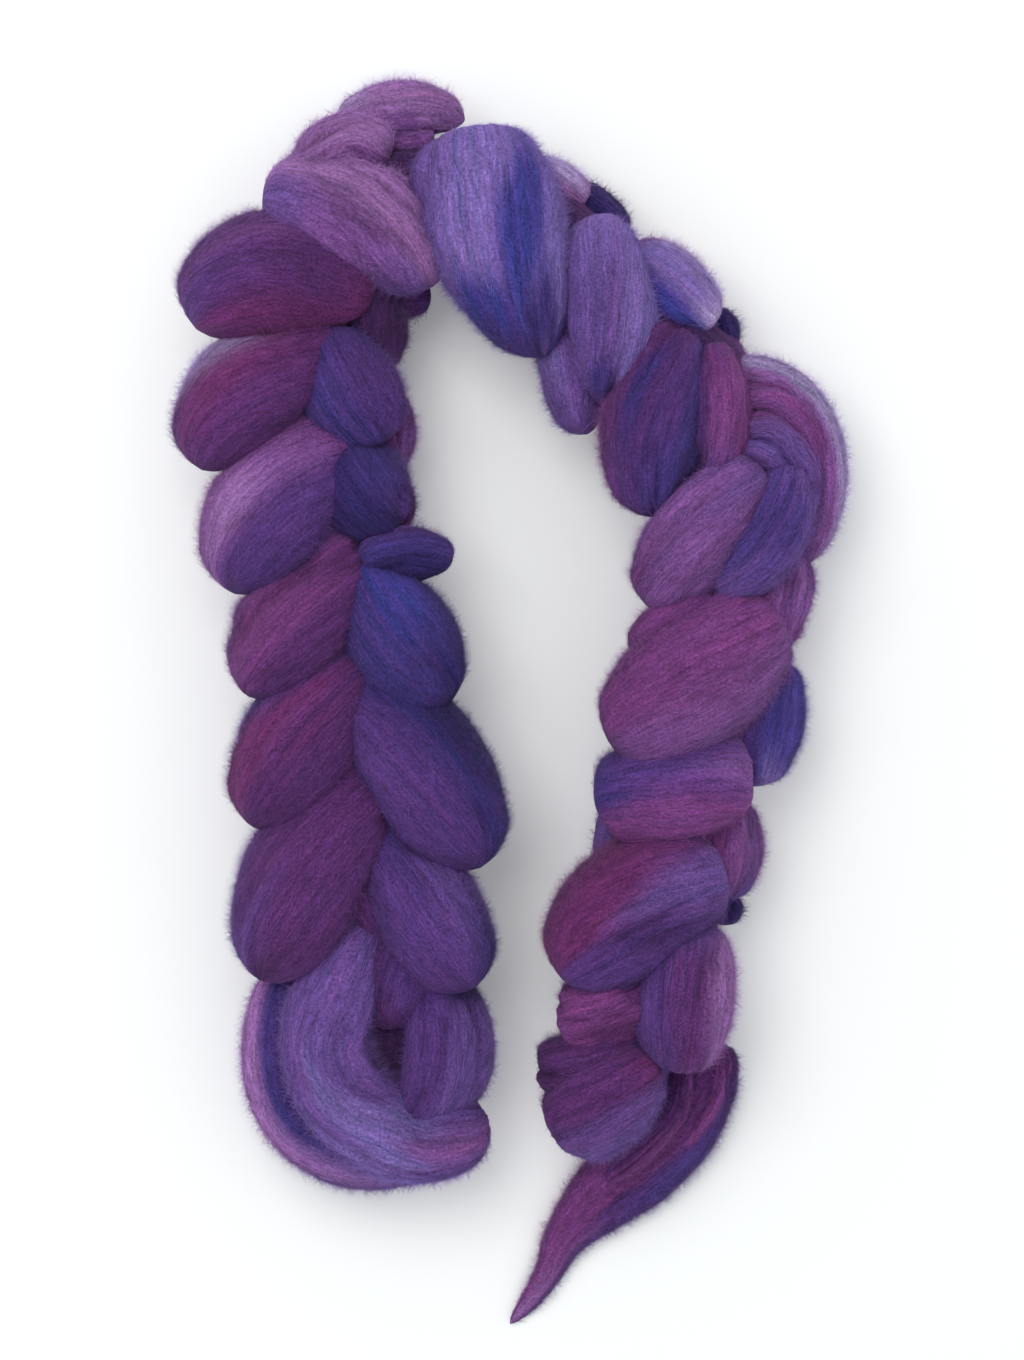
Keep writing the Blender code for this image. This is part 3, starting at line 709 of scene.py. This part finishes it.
RIGHT_ARM = (
    Arch("inner_1", 50, 96, 50, 267, 80, 6, 36, 37, 0.55, 0.28,
         "plum plum purple magenta indigo", ((0.45, -0.2, 0.3, 0.2, "ink"),), dips=(12, 7)),
    Arch("inner_1_split", 74, 101, 47, 272, 53, -4, 23, 32, 0.55, 0.5,
         "plum magenta violet purple magenta", dips=(9, 13)),
    Stretch("outer_turn", ((72, 121, 32), (94, 115, 36), (107, 97, 34), (109, 74, 32), (104, 52, 28)),
            20, 22, 0.5, 0.5, "pink orchid pink orchid mist",
            ((0.5, -0.15, 0.6, 0.4, "mist"),)),
    Stretch("middle_turn", ((77, 110, 38), (93, 107, 41), (103, 91, 38), (104, 71, 32)),
            15, 22, 0.6, 0.5, "orchid magenta plum orchid crimson"),
    Stretch("inner_turn", ((80, 100, 42), (91, 98, 44), (100, 84, 40), (101, 69, 34)),
            13, 24, 0.6, 0.5, "orchid violet plum violet magenta"),
    Arch("small_turn", 91, 89, 46, 322, 23, -3, 9, 18, 0.5, 0.5,
         "violet violet indigo violet indigo", dips=(2, 5)),
    Arch("inner_2", 64, 58, 49, 235, 74, 4, 32, 36, 0.5, 0.45,
         "violet orchid magenta orchid orchid", roll=14, dips=(7, 15)),
    Arch("inner_2_split", 87, 56, 48, 236, 60, -9, 27, 34, 0.6, 0.35,
         "violet iris violet iris violet", dips=(8, 12)),
    Arch("outer_2", 93, 38, 34, 256, 38, -2, 30, 26, 0.6, 0.6,
         "orchid orchid magenta magenta orchid", dips=(6, 6)),
    Arch("inner_3", 60, 5, 50, 221, 88, -1, 48, 38, 0.6, 0.55,
         "magenta magenta magenta magenta orchid", belly=0.55, roll=14, dips=(12, 12)),
    Arch("inner_3_split", 57, 26, 43, 215, 38, 0, 22, 30, 0.6, 0.5,
         "plum magenta plum magenta plum", dips=(3, 11)),
    Arch("outer_3", 89, -9, 36, 260, 54, -2, 33, 28, 0.5, 0.45,
         "iris blue lavender iris violet", dips=(6, 6)),
    Arch("inner_4", 53, -29, 49, 197, 56, 4, 39, 37, 0.75, 0.75,
         "orchid purple indigo purple magenta", roll=14, dips=(9, 16)),
    Arch("outer_4", 75, -54, 34, 264, 46, -1, 32, 27, 0.5, 0.4,
         "orchid orchid violet magenta orchid", dips=(4, 4)),
    Arch("outer_5", 77, -74, 22, 262, 14, 0, 10, 12, 0.5, 0.5,
         "navy navy navy navy navy", dips=(0, 0)),
    Arch("inner_5", 38, -76, 50, 223, 80, 8, 47, 38, 0.75, 0.42,
         "violet crimson crimson crimson purple", ((0.25, -0.3, 0.25, 0.5, "violet"),),
         belly=0.55, roll=14, dips=(12, 11)),
    Arch("inner_6", 32, -109, 45, 207, 29, 0, 30, 32, 0.6, 0.7,
         "plum magenta magenta plum magenta", roll=14, dips=(3, 11)),
    Arch("outer_6", 60, -108, 49, 264, 57, -2, 37, 36, 0.65, 0.38,
         "violet plum plum purple haze", ((0.6, -0.65, 0.45, 0.5, "pink"),)),
    Arch("inner_8", 26, -128, 41, 202, 40, 0, 27, 30, 0.6, 0.75,
         "plum plum aubergine plum plum", dips=(5, 13)),
    Arch("inner_7", 31, -141, 46, 219, 47, 0, 34, 34, 0.5, 0.75,
         "crimson plum plum plum violet", roll=14, dips=(4, 14)),
)
make_group("right_arm", RIGHT_ARM, 3000)

# The open loop: the last loop of the chain, left open at the end of the left arm. Its
# wool fans out flat there, so its two legs and the strand round them are broad.

OPEN_LOOP = (
    Stretch("first_leg", ((-51, -70, 38), (-60, -94, 46), (-66, -119, 47), (-59, -139, 44),
            (-41, -152, 40), (-22, -152, 36), (-9, -147, 30)),
            34, 27, 0.7, 0.8, "violet violet orchid violet violet",
            ((0.72, 0, 0.15, 1.5, "lavender"),)),
    Stretch("outer_strand", ((-79, -88, 32), (-85, -111, 34), (-84, -135, 34), (-73, -153, 32),
            (-52, -162, 30), (-20, -159, 26)),
            27, 23, 0.6, 0.5, "orchid violet lavender violet indigo",
            ((0.3, 0, 0.45, 0.55, "pink"),)),
    Arch("second_leg", -43, -100, 41, 260, 35, 0, 35, 32, 0.6, 0.5,
         "purple purple plum aubergine purple", dips=(3, 7)),
    Stretch("right_leg", ((-34, -146, 34), (-24, -132, 42), (-23, -114, 40), (-30, -93, 32)),
            38, 25, 0.6, 0.6, "violet violet navy violet purple",
            ((0.88, 0, 0.2, 1.2, "navy"),)),
    # A near-black stretch that fills the inside of the loop, low between its legs, as painted shade
    Arch("inside", -45, -130, 27, 295, 36, 0, 26, 24, 0.6, 0.6,
         "sloe sloe sloe sloe sloe", dips=(0, 3)),
)
make_group("open_loop", OPEN_LOOP, 4000)

# The underside: the wool runs on from stitch to stitch under the braid as a row of
# bumps, and the loops' heads turn down round both sides to hold them.

CORE_SEED = 5000
BUMP_SEED = 5100
HEAD_SEED = 6000
CORE_SHARE = 1.35
STITCH_PITCH = 45
FIRST_STITCH = 22
BUMP_LENGTH = 62
BUMP_SHARE = 1.15
BUMP_ENDS = 0.6
BUMP_THICK = 32
BUMP_SINK = 2.0
BUMP_LIFT = 26
BUMP_SWAY = 5
HEAD_LENGTH = 58
HEAD_WIDTH = 34
HEAD_THICK = 30
HEAD_HEIGHT = 21
HEAD_RISE = 12
HEAD_FALL = 4
HEAD_TUCK = 5
HEAD_START = 0.55
HEAD_END = 0.5
REACH_BEFORE = 0.75
REACH_AFTER = 0.55
UNDER_DYES = ("plum plum purple plum plum", "purple violet plum purple violet",
              "indigo purple plum indigo purple", "magenta plum purple plum violet")

run = np.r_[0, np.cumsum(np.linalg.norm(np.diff(middle_line, axis=0), axis=1))]
rows = np.array([(row.x, row.y) for row in MIDDLE], float)
row_run = np.r_[0, np.cumsum(np.linalg.norm(np.diff(rows, axis=0), axis=1))]
half_width = np.interp(run / run[-1], row_run / row_run[-1], [row.half_width for row in MIDDLE])
cap = rounded_ends(run / run[-1])
up = np.tile([0.0, 0.0, 1.0], (len(middle_line), 1))
# The core is the wool in the braid's middle, dyed dark aubergine all through as painted shade where
# it shows between the stretches
core = body_along("core", middle_line, middle_heading, up, CORE_SHARE * half_width * cap,
                  CORE_THICK * cap, CORE_SEED, "aubergine aubergine aubergine aubergine aubergine")
under = [core]
for stitch, at in enumerate(np.arange(FIRST_STITCH, run[-1], STITCH_PITCH)):
    here = np.array([*read(middle_line, np.array([at / run[-1]]))[0, :2], 0])
    ahead = np.array([*read(middle_heading, np.array([at / run[-1]]))[0, :2], 0])
    half = np.interp(at, run, half_width)
    left = np.array([-ahead[1], ahead[0], 0])
    sway = left * BUMP_SWAY * (-1) ** stitch
    bump = (here - ahead * BUMP_LENGTH / 2 - sway + (0, 0, BUMP_LIFT),
            here + (0, 0, BUMP_THICK / 2 - BUMP_SINK),
            here + ahead * BUMP_LENGTH / 2 + sway + (0, 0, BUMP_LIFT))
    dyes = UNDER_DYES[stitch % len(UNDER_DYES)]
    under.append(body_of(Stretch(f"bump_{stitch}", bump, BUMP_SHARE * half, BUMP_THICK,
                                 BUMP_ENDS, BUMP_ENDS, dyes), BUMP_SEED + SEED_STEP * stitch))
    for hand in (1, -1):
        reach = left * hand * (half - HEAD_WIDTH / 2 - HEAD_TUCK)
        head = (here - ahead * HEAD_LENGTH / 2 + reach * REACH_BEFORE
                + (0, 0, HEAD_HEIGHT + HEAD_RISE),
                here + reach + (0, 0, HEAD_HEIGHT),
                here + ahead * HEAD_LENGTH / 2 + reach * REACH_AFTER
                + (0, 0, HEAD_HEIGHT - HEAD_FALL))
        dyes = UNDER_DYES[(stitch + hand + 2) % len(UNDER_DYES)]
        under.append(body_of(Stretch(f"head_{stitch}", head, HEAD_WIDTH, HEAD_THICK,
                                     HEAD_START, HEAD_END, dyes),
                             HEAD_SEED + SEED_STEP * (2 * stitch + hand)))
bm = bmesh.new()
for body in under:
    add_body(bm, body, "big" if body.name == "core" else "hidden")
wool_pieces.append(piece_from("underside_wool", bm, combed_wool, "braid"))
groups["underside"] = under[1:]

# The loose end: the first end of the wool, which comes out from under the first stitch,
# lies flat on the table and thins to a wisp.

# Where its middle line runs, and how wide and thick it is there (mm)
Section = namedtuple("Section", "x y z width thick")
LOOSE_END = (
    Section(73, -119, 18, 18, 20),
    Section(69, -135, 14, 27, 20),
    Section(60, -153, 10, 31, 19),
    Section(44, -170, 7, 31, 16),
    Section(29, -184, 5, 23, 12),
    Section(19, -196, 3.5, 15, 9),
    Section(14, -207, 2.6, 10, 6),
    Section(8, -217, 2, 8, 5),
    Section(-1, -228, 1.5, 6, 4),
)
# The strands that are folded over it, as they came off the hand
LOOSE_FOLDS = (
    Stretch("top_fold", ((63, -128, 24), (60, -145, 20), (49, -160, 16), (34, -174, 11)),
            15, 12, 0.6, 0.4, "plum magenta magenta plum magenta"),
    Stretch("side_fold", ((76, -122, 20), (74, -138, 16), (65, -154, 13), (53, -166, 9)),
            15, 15, 0.7, 0.4, "plum purple iris magenta iris"),
    Stretch("low_fold", ((58, -165, 8), (44, -178, 7), (31, -188, 4), (24, -192, 3)),
            12, 10, 0.6, 0.4, "iris purple iris purple iris"),
)
# The steps of its route, and the seeds of it and its folds
TAIL_STEPS = 80
TAIL_SEED = 7000
FOLD_SEED = 7100

points = np.array([(row.x, row.y, row.z) for row in LOOSE_END], float)
line, heading = smooth_route(points, TAIL_STEPS)
point_run = np.r_[0, np.cumsum(np.linalg.norm(np.diff(points, axis=0), axis=1))]
at = np.linspace(0, point_run[-1], len(line))
cap = rounded_ends(np.linspace(0, 1, len(line)))
width = np.interp(at, point_run, [row.width for row in LOOSE_END]) * cap
thick = np.interp(at, point_run, [row.thick for row in LOOSE_END]) * cap
up = np.tile([0.0, 0.0, 1.0], (len(line), 1))
out = up - (up * heading).sum(axis=1)[:, None] * heading
out /= np.linalg.norm(out, axis=1)[:, None]
tail = body_along("tail", line, heading, out, width, thick, TAIL_SEED,
                  "plum magenta pink magenta purple", ((0.4, -0.6, 0.25, 0.5, "iris"),))
loose = [tail, *(body_of(row, FOLD_SEED + SEED_STEP * count)
                 for count, row in enumerate(LOOSE_FOLDS))]
bm = bmesh.new()
for body in loose:
    add_body(bm, body, "big" if body is tail else "small")
loose_end = piece_from("loose_end_wool", bm, combed_wool, "loose_end")
groups["loose_end"] = loose

# The fibres: fine crimped wool hairs that lie along every stretch and stand a little
# proud of it, which blurs its outline. They are the wool's own, combed in with it.

# The long hairs that lie on the wool (mm): how many, how long, wide and crimped they are,
# how they lean (radians) and rise, and how much darker or paler than the wool
HAIR_SEED = 8000
HAIR_PARTS = 2
HAIR_WIDTH = 0.14
HAIR_LENGTH = 5
HAIR_SPREAD = 0.4
HAIR_LEAN = 0.45
HAIRS_PER_MM2 = 0.33
HAIR_RISE = 0.4
HAIR_STACK = 0.4
HAIR_TWIST = 1
HAIR_TAPER = 1.1
CRIMP = 0.4
CRIMPS = (0.3, 1.6)
CRIMP_LENGTH = 4.0
CRIMP_RISE = 0.4
LIES_AT = 0.25
PALEST = 1.9
DARKEST = 0.5

# The short fuzz that stands out of the wool, in the same way. Most of it grows on the
# sides, which are seen edge on, and its ends are painted paler there as painted sheen.
FUZZ_SEED = 8100
FUZZ_PARTS = 1
FUZZ_WIDTH = 0.17
FUZZ_LENGTH = 1.9
FUZZ_SPREAD = 0.45
FUZZ_LEAN = 1.4
FUZZ_PER_MM2 = 10.5
FUZZ_SIDES = 0.975
FUZZ_ROOT = 0.1
FUZZ_RISE = 2.0
FUZZ_LIMIT = 5
FUZZ_BEND = 0.8
FUZZ_TWIST = 1.5
FUZZ_TAPER = 1.05
FUZZ_SHADES = (0.9, 1.6)
CURL = 0.5
CURLS = (0.3, 1.5)
CURL_LENGTH = 3.0
CURL_RISE = 0.35
PAINTED_SHEEN_COLOUR = (0.60, 0.50, 0.72)
MOST_PAINTED_SHEEN = 0.2
LEAST_PAINTED_SHEEN_SHARE = 0.2

# How much the widths of both kinds differ, how much of both grows on the underside, how
# near the ends of a stretch, and how low over the table (mm), they may grow and lie
WIDTHS = (0.7, 1.3)
HIDDEN_SHARE = 0.12
ROOTS_FROM = 0.015
ENDS_FROM = 0.004
LOWEST_ROOT = 2
LOWEST_EDGE = 0.12
NEAREST = 0.05
LEAST_RADIUS = 5
NO_LENGTH = 1e-9

# Where wool is in the open (m): nothing lies over it within reach, and no fuzz grows into
# a crevice
OPEN_FROM = 0.0007
OPEN_REACH = 0.06
CREVICE = 0.007


def hair_material(name):
    """One wool hair: the colour of the wool it grows from, with its painted shade and light, and
    painted sheen on the fuzz, mottled along its length.
    """
    material, tree, shader = new_wool(name, roughness=0.75, shine=0.25, sheen=0.25,
                                      sheen_roughness=0.4, bloom=(0.75, 0.6, 0.95, 1))
    link = tree.links.new
    dye = new_node(tree, "ShaderNodeAttribute", attribute_name="dye")
    place = new_node(tree, "ShaderNodeTexCoord")
    mottle = new_noise(tree, scale=260, detail=2)
    level = new_level(tree, lowest=0.85, highest=1.2)
    mottled = new_node(tree, "ShaderNodeVectorMath", operation="SCALE")
    link(place.outputs["Object"], mottle.inputs["Vector"])
    link(mottle.outputs["Fac"], level.inputs["Value"])
    link(dye.outputs["Color"], mottled.inputs[0])
    link(level.outputs["Result"], mottled.inputs["Scale"])
    link(mottled.outputs["Vector"], shader.inputs["Base Color"])
    return material


wool_hair = hair_material("wool_hair")


def ribbon_strips(count, parts):
    """count flat ribbons in one mesh: one long strip of faces, parted after every ribbon."""
    bm = bmesh.new()
    rows = count * (parts + 1)
    bmesh.ops.create_grid(bm, x_segments=1, y_segments=rows - 1, size=1)
    between = [f for k, f in enumerate(bm.faces) if k % (parts + 1) == parts]
    bmesh.ops.delete(bm, geom=between, context="FACES")
    return bm


def in_the_open(tree, roots, normals, crevice):
    """Which roots aren't buried in another stretch, nor face one within a crevice's width."""
    free = np.ones(len(roots), bool)
    for k, (root, normal) in enumerate(zip(roots, normals)):
        way = Vector(normal)
        start = Vector(root) + way * OPEN_FROM
        _, face_normal, _, far = tree.ray_cast(start, way, OPEN_REACH)
        free[k] = face_normal is None or (face_normal.dot(way) < 0 and far > crevice)
    return free


def open_roots(body, per_mm2, rng, tree, side_share, crevice):
    """Chance places on the open parts of one stretch, more of them on its sides."""
    count = int(per_mm2 * body.length * (body.width.max() + body.thick.max()) * math.pi / 2)
    t = rng.uniform(ROOTS_FROM, 1 - ROOTS_FROM, count)
    angle = rng.uniform(0, TURN, len(t))
    keep = rng.random(len(t)) < read(body.width, t) / body.width.max()
    t = t[keep]
    angle = angle[keep]
    lift = np.full(len(t), LIES_AT)
    here = on_surface(body, t, angle, lift)
    normal = on_surface(body, t, angle, lift + 1) - here
    normal /= np.linalg.norm(normal, axis=1)[:, None] + NO_LENGTH
    level = 1 - np.abs(normal[:, 2])
    chance = 1 - side_share * (1 - level ** 3)
    keep = (here[:, 2] > LOWEST_ROOT) & (rng.random(len(t)) < chance)
    keep[keep] = in_the_open(tree, (here[keep] - BOX_MIDDLE) * MM, normal[keep], crevice)
    return t[keep], angle[keep], level[keep]


def ribbons_on(body, along, around, high, width, roll):
    """The two edges (mm) of ribbons that follow places on a stretch, rows of them."""
    flat = [values.ravel() for values in (np.clip(along, ENDS_FROM, 1 - ENDS_FROM), around)]
    high = np.maximum(high, NEAREST).ravel()
    place = on_surface(body, *flat, high)
    proud = (on_surface(body, *flat, high + 1) - place).reshape(*along.shape, 3)
    place = place.reshape(*along.shape, 3)
    proud /= np.linalg.norm(proud, axis=2)[..., None] + NO_LENGTH
    heading = np.gradient(place, axis=1)
    heading /= np.linalg.norm(heading, axis=2)[..., None] + NO_LENGTH
    side = np.cross(heading, proud)
    roll = roll[:, None, None]
    edge = (side * np.cos(roll) + proud * np.sin(roll)) * width[..., None] / 2
    ribbon = np.stack([place - edge, place + edge], axis=2)
    ribbon[..., 2] = np.maximum(ribbon[..., 2], LOWEST_EDGE)
    return ribbon


def radius_at(body, t):
    """About half of how thick a stretch is (mm), which turns a way round it to an angle."""
    return np.maximum((read(body.width, t) + read(body.thick, t)) / 4, LEAST_RADIUS)[:, None]


def lying_hairs(body, rng, tree, share):
    """Long crimped hairs that lie along a stretch: their ribbons' edges (mm) and dyes, with the
    painted shade and light of the wool they grow from.
    """
    t, angle, _ = open_roots(body, HAIRS_PER_MM2 * share, rng, tree, 0, 0)
    n = len(t)
    steps = np.linspace(-0.5, 0.5, HAIR_PARTS + 1)[None, :]
    length = HAIR_LENGTH * rng.lognormal(0, HAIR_SPREAD, n)[:, None]
    lean = rng.normal(0, HAIR_LEAN, n)[:, None]
    wave = rng.uniform(0, TURN, n)[:, None] + TURN * steps * length / CRIMP_LENGTH
    crimp = CRIMP * rng.uniform(*CRIMPS, n)[:, None] * np.sin(wave)
    along = t[:, None] + steps * length * np.cos(lean) / body.length
    around = angle[:, None] + (steps * length * np.sin(lean) + crimp) / radius_at(body, t)
    rise = rng.exponential(HAIR_RISE, n)[:, None] * (2 * steps) ** 2
    stack = rng.uniform(0, HAIR_STACK, n)[:, None]
    high = LIES_AT + stack + rise + CRIMP_RISE * crimp * np.cos(wave)
    width = HAIR_WIDTH * rng.uniform(*WIDTHS, n)[:, None] * (HAIR_TAPER - np.abs(2 * steps) ** 3)
    twist = rng.uniform(-HAIR_TWIST, HAIR_TWIST, n)
    ribbon = ribbons_on(body, along, around, high, width, twist)
    return ribbon, dyed_and_shaded(body, t, angle) * rng.uniform(DARKEST, PALEST, n)[:, None]


def standing_fuzz(body, rng, tree, share):
    """Short curly ends that stand out of a stretch: their ribbons' edges (mm) and dyes, with the
    painted shade and light of the wool they grow from, paled on the sides as painted sheen.
    """
    t, angle, level = open_roots(body, FUZZ_PER_MM2 * share, rng, tree, FUZZ_SIDES, CREVICE)
    n = len(t)
    steps = np.linspace(0, 1, FUZZ_PARTS + 1)[None, :]
    length = FUZZ_LENGTH * rng.lognormal(0, FUZZ_SPREAD, n)[:, None]
    lean = rng.uniform(-FUZZ_LEAN, FUZZ_LEAN, n)[:, None]
    way = rng.choice((-1, 1), n)[:, None]
    wave = rng.uniform(0, TURN, n)[:, None] + TURN * steps * length / CURL_LENGTH
    curl = CURL * rng.uniform(*CURLS, n)[:, None] * np.sin(wave)
    along = t[:, None] + way * steps * length * np.cos(lean) / body.length
    around = angle[:, None] + (steps * length * np.sin(lean) + curl) / radius_at(body, t)
    rise = np.minimum(rng.exponential(FUZZ_RISE, n), FUZZ_LIMIT)[:, None]
    high = FUZZ_ROOT + rise * steps ** FUZZ_BEND + CURL_RISE * curl * np.cos(wave) * steps
    width = FUZZ_WIDTH * rng.uniform(*WIDTHS, n)[:, None] * (FUZZ_TAPER - steps ** 2)
    twist = rng.uniform(-FUZZ_TWIST, FUZZ_TWIST, n)
    ribbon = ribbons_on(body, along, around, high, width, twist)
    colour = dyed_and_shaded(body, t, angle) * rng.uniform(*FUZZ_SHADES, n)[:, None]
    # Painted sheen: the fuzz is paled towards a pale lilac, the more so where the wool faces sideways
    painted_side_sheen = MOST_PAINTED_SHEEN * level ** 2 * rng.uniform(LEAST_PAINTED_SHEEN_SHARE, 1, n)
    return ribbon, blend(colour, PAINTED_SHEEN_COLOUR, painted_side_sheen)


def add_hairs(name, bodies, slot, seed, tree, kind, share):
    """One piece of all the hairs of one kind on some stretches."""
    rng = np.random.default_rng(seed)
    grown = [kind(body, rng, tree, share) for body in bodies]
    ribbons = np.concatenate([ribbon for ribbon, _ in grown])
    colours = np.concatenate([colour for _, colour in grown])
    rows = ribbons.shape[1]
    hairs = piece_from(name, ribbon_strips(len(ribbons), rows - 1), wool_hair, slot)
    place = (ribbons.reshape(-1, 3) - BOX_MIDDLE) * MM
    hairs.data.vertices.foreach_set("co", place.ravel())
    # The hairs' colour attribute holds their dyes with painted shade and light, and painted sheen on
    # the fuzz
    dye = hairs.data.color_attributes.new("dye", "FLOAT_COLOR", "POINT")
    colour = np.ones((len(place), 4))
    colour[:, :3] = np.clip(np.repeat(colours, 2 * rows, axis=0), 0, 1)
    dye.data.foreach_set("color", colour.ravel())
    hairs.data.update()


bm = bmesh.new()
for piece in (*wool_pieces, loose_end):
    bm.from_mesh(piece.data)
everything = BVHTree.FromBMesh(bm)
bm.free()
for count, (name, bodies) in enumerate(groups.items()):
    slot = "loose_end" if name == "loose_end" else "braid"
    share = HIDDEN_SHARE if name == "underside" else 1
    add_hairs(f"{name}_hairs", bodies, slot, HAIR_SEED + count, everything, lying_hairs, share)
    add_hairs(f"{name}_fuzz", bodies, slot, FUZZ_SEED + count, everything, standing_fuzz, share)
